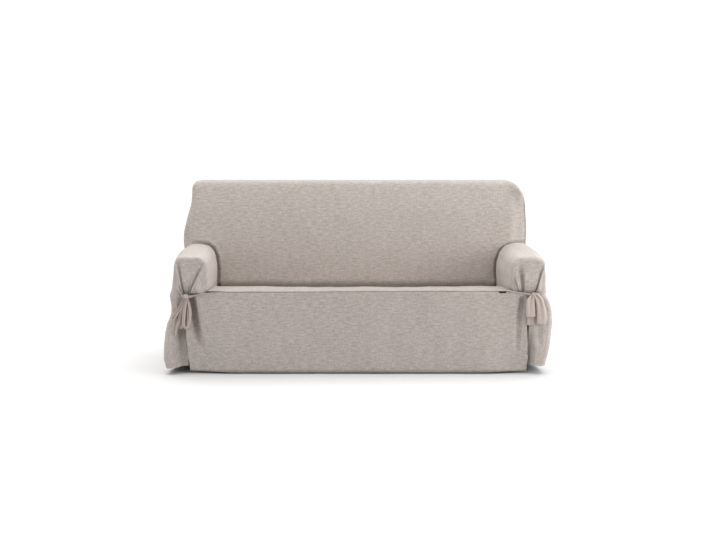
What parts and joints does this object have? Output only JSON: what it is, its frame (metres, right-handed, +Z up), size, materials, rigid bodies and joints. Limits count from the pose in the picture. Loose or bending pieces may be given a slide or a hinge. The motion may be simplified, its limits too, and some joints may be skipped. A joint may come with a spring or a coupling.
{
  "type": "sofa slipcover",
  "caption": "Fitted slipcover for a sofa with arms: draped woven panels for back, seat, arms and skirt, with the arm fronts folded in and drawn together by ribbon ties.",
  "frame": {"origin": "middle of the bounding box on the floor plane", "axes": "+X to the sitter's left, which is the right of the picture; -Y to the front; +Z up"},
  "size_m": [2.0451, 0.8809, 0.9921],
  "materials": {
    "heather_cloth": "heavy heathered plain weave, matte",
    "ribbon_cloth": "plain fine weave, matte",
    "label_tape": "dark woven tape, bare"
  },
  "bodies": {
    "root": {"inside_back": "heather_cloth", "outside_back": "heather_cloth", "seat": "heather_cloth", "front_skirt": "heather_cloth", "arm_left": "heather_cloth", "arm_right": "heather_cloth", "label": "label_tape", "tie_left_band_inner": "ribbon_cloth", "tie_left_band_outer": "ribbon_cloth", "tie_left_knot": "ribbon_cloth", "tie_left_loop": "ribbon_cloth", "tie_left_tail_back": "ribbon_cloth", "tie_left_tail_middle": "ribbon_cloth", "tie_left_tail_outer": "ribbon_cloth", "tie_right_band_inner": "ribbon_cloth", "tie_right_band_outer": "ribbon_cloth", "tie_right_knot": "ribbon_cloth", "tie_right_loop": "ribbon_cloth", "tie_right_tail_back": "ribbon_cloth", "tie_right_tail_inner": "ribbon_cloth"}
  },
  "joints": []
}
